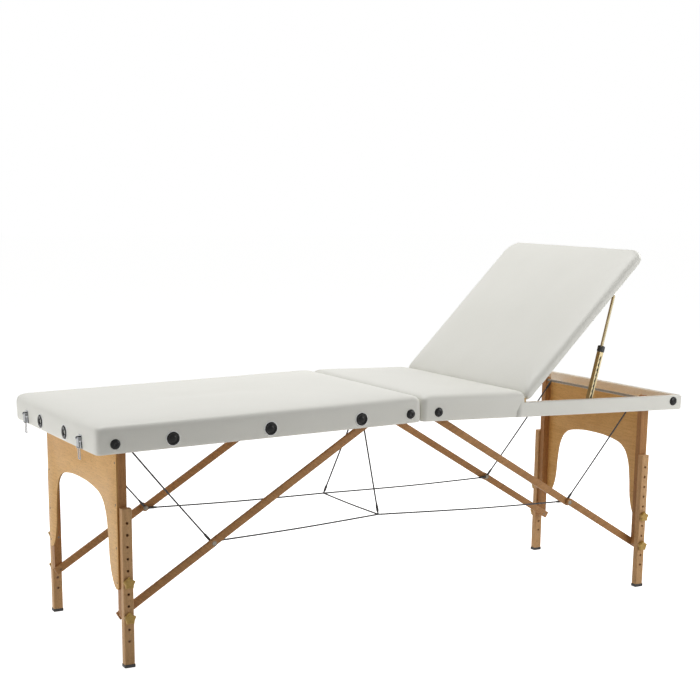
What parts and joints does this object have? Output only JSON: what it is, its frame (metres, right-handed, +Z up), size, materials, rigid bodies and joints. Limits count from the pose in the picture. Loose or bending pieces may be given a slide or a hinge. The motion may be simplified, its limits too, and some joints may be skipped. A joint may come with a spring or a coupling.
{
  "type": "folding massage table",
  "caption": "Long padded folding table on wooden arched legs with braces and cables, a middle fold and a tilting backrest held by ratchet struts.",
  "frame": {"origin": "on the floor, below the middle of the table's overall box", "axes": "+X from the foot end to the head end with the backrest, +Y to the far long side, +Z up"},
  "size_m": [1.8921, 0.6738, 1.0455],
  "materials": {
    "white_vinyl_pad": "satin",
    "white_vinyl_cover": "satin",
    "pine": "matte",
    "beech_plywood": "satin",
    "stained_beech": "satin",
    "light_beech": "satin",
    "black_plastic": "satin",
    "black_rubber": "matte",
    "zinc_steel": "satin",
    "yellow_zinc": "satin",
    "chrome": "polished",
    "cable_steel": "satin"
  },
  "bodies": {
    "head_half": {"head_side_rails": "pine", "head_cross_rails": "pine", "head_rail_cover": "white_vinyl_cover", "seat_deck": "beech_plywood", "seat_pad": "white_vinyl_pad", "head_center_hinges": "zinc_steel", "latch_keepers": "chrome", "head_bumpers": "black_rubber", "head_frame_fittings": "zinc_steel", "head_stay_cables": "cable_steel", "lower_cables": "cable_steel"},
    "foot_half": {"foot_side_rails": "pine", "foot_cross_rails": "pine", "foot_rail_cover": "white_vinyl_cover", "foot_deck": "beech_plywood", "foot_pad": "white_vinyl_pad", "foot_center_hinges": "zinc_steel", "headrest_sockets": "black_plastic", "side_socket_plugs": "black_plastic", "foot_bumpers": "black_rubber", "latch_bases": "chrome", "foot_frame_fittings": "zinc_steel", "foot_stay_cables": "cable_steel"},
    "backrest": {"backrest_board": "beech_plywood", "backrest_pad": "white_vinyl_pad", "backrest_fittings": "zinc_steel"},
    "strut_channel": {"strut_channels": "yellow_zinc"},
    "strut_tube": {"strut_tubes": "yellow_zinc"},
    "foot_leg": {"foot_posts": "stained_beech", "foot_leg_panel": "beech_plywood", "foot_leg_bolts": "zinc_steel"},
    "foot_upper_brace": {"foot_upper_braces": "stained_beech", "foot_elbow_bolts": "zinc_steel"},
    "foot_lower_brace": {"foot_lower_braces": "stained_beech"},
    "leg_tip_foot_near": {"extension_foot_near": "stained_beech", "foot_cap_foot_near": "black_rubber"},
    "knob_foot_near_upper": {"knob_foot_near_upper": "light_beech"},
    "knob_foot_near_lower": {"knob_foot_near_lower": "light_beech"},
    "leg_tip_foot_far": {"extension_foot_far": "stained_beech", "foot_cap_foot_far": "black_rubber"},
    "knob_foot_far_upper": {"knob_foot_far_upper": "light_beech"},
    "knob_foot_far_lower": {"knob_foot_far_lower": "light_beech"},
    "head_leg": {"head_posts": "stained_beech", "head_leg_panel": "beech_plywood", "head_leg_bolts": "zinc_steel"},
    "head_upper_brace": {"head_upper_braces": "stained_beech", "head_elbow_bolts": "zinc_steel"},
    "head_lower_brace": {"head_lower_braces": "stained_beech"},
    "leg_tip_head_near": {"extension_head_near": "stained_beech", "foot_cap_head_near": "black_rubber"},
    "knob_head_near_upper": {"knob_head_near_upper": "light_beech"},
    "knob_head_near_lower": {"knob_head_near_lower": "light_beech"},
    "leg_tip_head_far": {"extension_head_far": "stained_beech", "foot_cap_head_far": "black_rubber"},
    "knob_head_far_upper": {"knob_head_far_upper": "light_beech"},
    "knob_head_far_lower": {"knob_head_far_lower": "light_beech"},
    "latch_lever_near": {"latch_lever_near": "chrome"},
    "latch_loop_near": {"latch_loop_near": "chrome"},
    "latch_lever_far": {"latch_lever_far": "chrome"},
    "latch_loop_far": {"latch_loop_far": "chrome"}
  },
  "joints": [
    {"name": "center_fold", "type": "hinge", "parent": "head_half", "child": "foot_half", "pos_m": [0, 0, 0.58], "axis": [0, -1, 0], "range_deg": [0, 177.3], "deforming": ["foot_stay_cables", "head_stay_cables", "lower_cables"]},
    {"name": "foot_leg_fold", "type": "hinge", "parent": "foot_half", "child": "foot_leg", "pos_m": [-0.84671, 0, 0.60006], "axis": [0, -1, 0], "range_deg": [0, 91.35]},
    {"name": "foot_upper_brace_turn", "type": "hinge", "parent": "foot_half", "child": "foot_upper_brace", "pos_m": [-0.06093, 0, 0.61857], "axis": [0, 1, 0], "range_deg": [0, 31.15]},
    {"name": "foot_lower_brace_turn", "type": "hinge", "parent": "foot_leg", "child": "foot_lower_brace", "pos_m": [-0.84671, 0, 0.133], "axis": [0, -1, 0], "range_deg": [0, 57.43]},
    {"name": "head_leg_fold", "type": "hinge", "parent": "head_half", "child": "head_leg", "pos_m": [0.84849, 0, 0.59101], "axis": [0, 1, 0], "range_deg": [0, 91.35]},
    {"name": "head_upper_brace_turn", "type": "hinge", "parent": "head_half", "child": "head_upper_brace", "pos_m": [0.06071, 0, 0.60958], "axis": [0, -1, 0], "range_deg": [0, 30.6]},
    {"name": "head_lower_brace_turn", "type": "hinge", "parent": "head_leg", "child": "head_lower_brace", "pos_m": [0.84849, 0, 0.133], "axis": [0, 1, 0], "range_deg": [0, 57.95]},
    {"name": "backrest_tilt", "type": "hinge", "parent": "head_half", "child": "backrest", "pos_m": [0.3551, 0, 0.62265], "axis": [0, -1, 0], "range_deg": [-46.35, 0]},
    {"name": "strut_turn", "type": "hinge", "parent": "head_half", "child": "strut_channel", "pos_m": [0.59435, 0, 0.588], "axis": [0, -1, 0], "range_deg": [-74.08, 0]},
    {"name": "strut_slide", "type": "slide", "parent": "strut_channel", "child": "strut_tube", "axis": [0.2379, 0, 0.9713], "range_m": [-0.14434, 0]},
    {"name": "leg_height_foot_near", "type": "slide", "parent": "foot_leg", "child": "leg_tip_foot_near", "axis": [0, 0, 1], "range_m": [-0.124, 0.062]},
    {"name": "knob_foot_near_upper_turn", "type": "hinge", "parent": "foot_leg", "child": "knob_foot_near_upper", "pos_m": [-0.84671, -0.298, 0.226], "axis": [0, 1, 0], "continuous": true},
    {"name": "knob_foot_near_lower_turn", "type": "hinge", "parent": "foot_leg", "child": "knob_foot_near_lower", "pos_m": [-0.84671, -0.298, 0.133], "axis": [0, 1, 0], "continuous": true},
    {"name": "leg_height_foot_far", "type": "slide", "parent": "foot_leg", "child": "leg_tip_foot_far", "axis": [0, 0, 1], "range_m": [-0.124, 0.062]},
    {"name": "knob_foot_far_upper_turn", "type": "hinge", "parent": "foot_leg", "child": "knob_foot_far_upper", "pos_m": [-0.84671, 0.298, 0.226], "axis": [0, 1, 0], "continuous": true},
    {"name": "knob_foot_far_lower_turn", "type": "hinge", "parent": "foot_leg", "child": "knob_foot_far_lower", "pos_m": [-0.84671, 0.298, 0.133], "axis": [0, 1, 0], "continuous": true},
    {"name": "leg_height_head_near", "type": "slide", "parent": "head_leg", "child": "leg_tip_head_near", "axis": [0, 0, 1], "range_m": [-0.124, 0.062]},
    {"name": "knob_head_near_upper_turn", "type": "hinge", "parent": "head_leg", "child": "knob_head_near_upper", "pos_m": [0.84849, -0.277, 0.226], "axis": [0, 1, 0], "continuous": true},
    {"name": "knob_head_near_lower_turn", "type": "hinge", "parent": "head_leg", "child": "knob_head_near_lower", "pos_m": [0.84849, -0.277, 0.133], "axis": [0, 1, 0], "continuous": true},
    {"name": "leg_height_head_far", "type": "slide", "parent": "head_leg", "child": "leg_tip_head_far", "axis": [0, 0, 1], "range_m": [-0.124, 0.062]},
    {"name": "knob_head_far_upper_turn", "type": "hinge", "parent": "head_leg", "child": "knob_head_far_upper", "pos_m": [0.84849, 0.277, 0.226], "axis": [0, 1, 0], "continuous": true},
    {"name": "knob_head_far_lower_turn", "type": "hinge", "parent": "head_leg", "child": "knob_head_far_lower", "pos_m": [0.84849, 0.277, 0.133], "axis": [0, 1, 0], "continuous": true},
    {"name": "latch_lever_near_turn", "type": "hinge", "parent": "foot_half", "child": "latch_lever_near", "pos_m": [-0.94156, -0.222, 0.59282], "axis": [0, 1, 0], "range_deg": [0, 150]},
    {"name": "latch_loop_near_turn", "type": "hinge", "parent": "latch_lever_near", "child": "latch_loop_near", "pos_m": [-0.94128, -0.222, 0.58082], "axis": [0, 1, 0], "range_deg": [-150, 0]},
    {"name": "latch_lever_far_turn", "type": "hinge", "parent": "foot_half", "child": "latch_lever_far", "pos_m": [-0.94156, 0.222, 0.59282], "axis": [0, 1, 0], "range_deg": [0, 150]},
    {"name": "latch_loop_far_turn", "type": "hinge", "parent": "latch_lever_far", "child": "latch_loop_far", "pos_m": [-0.94128, 0.222, 0.58082], "axis": [0, 1, 0], "range_deg": [-150, 0]}
  ],
  "couplings": [
    {"joint": "foot_leg_fold", "follows": "center_fold", "ratio": 0.51523},
    {"joint": "foot_upper_brace_turn", "follows": "center_fold", "ratio": 0.17568},
    {"joint": "foot_lower_brace_turn", "follows": "center_fold", "ratio": 0.32393},
    {"joint": "head_leg_fold", "follows": "center_fold", "ratio": 0.51523},
    {"joint": "head_upper_brace_turn", "follows": "center_fold", "ratio": 0.17259},
    {"joint": "head_lower_brace_turn", "follows": "center_fold", "ratio": 0.32687},
    {"joint": "strut_turn", "follows": "backrest_tilt", "ratio": 1.5983},
    {"joint": "strut_slide", "follows": "backrest_tilt", "m_per_rad": 0.17843},
    {"joint": "latch_loop_near_turn", "follows": "latch_lever_near_turn", "ratio": -1},
    {"joint": "latch_loop_far_turn", "follows": "latch_lever_far_turn", "ratio": -1}
  ]
}
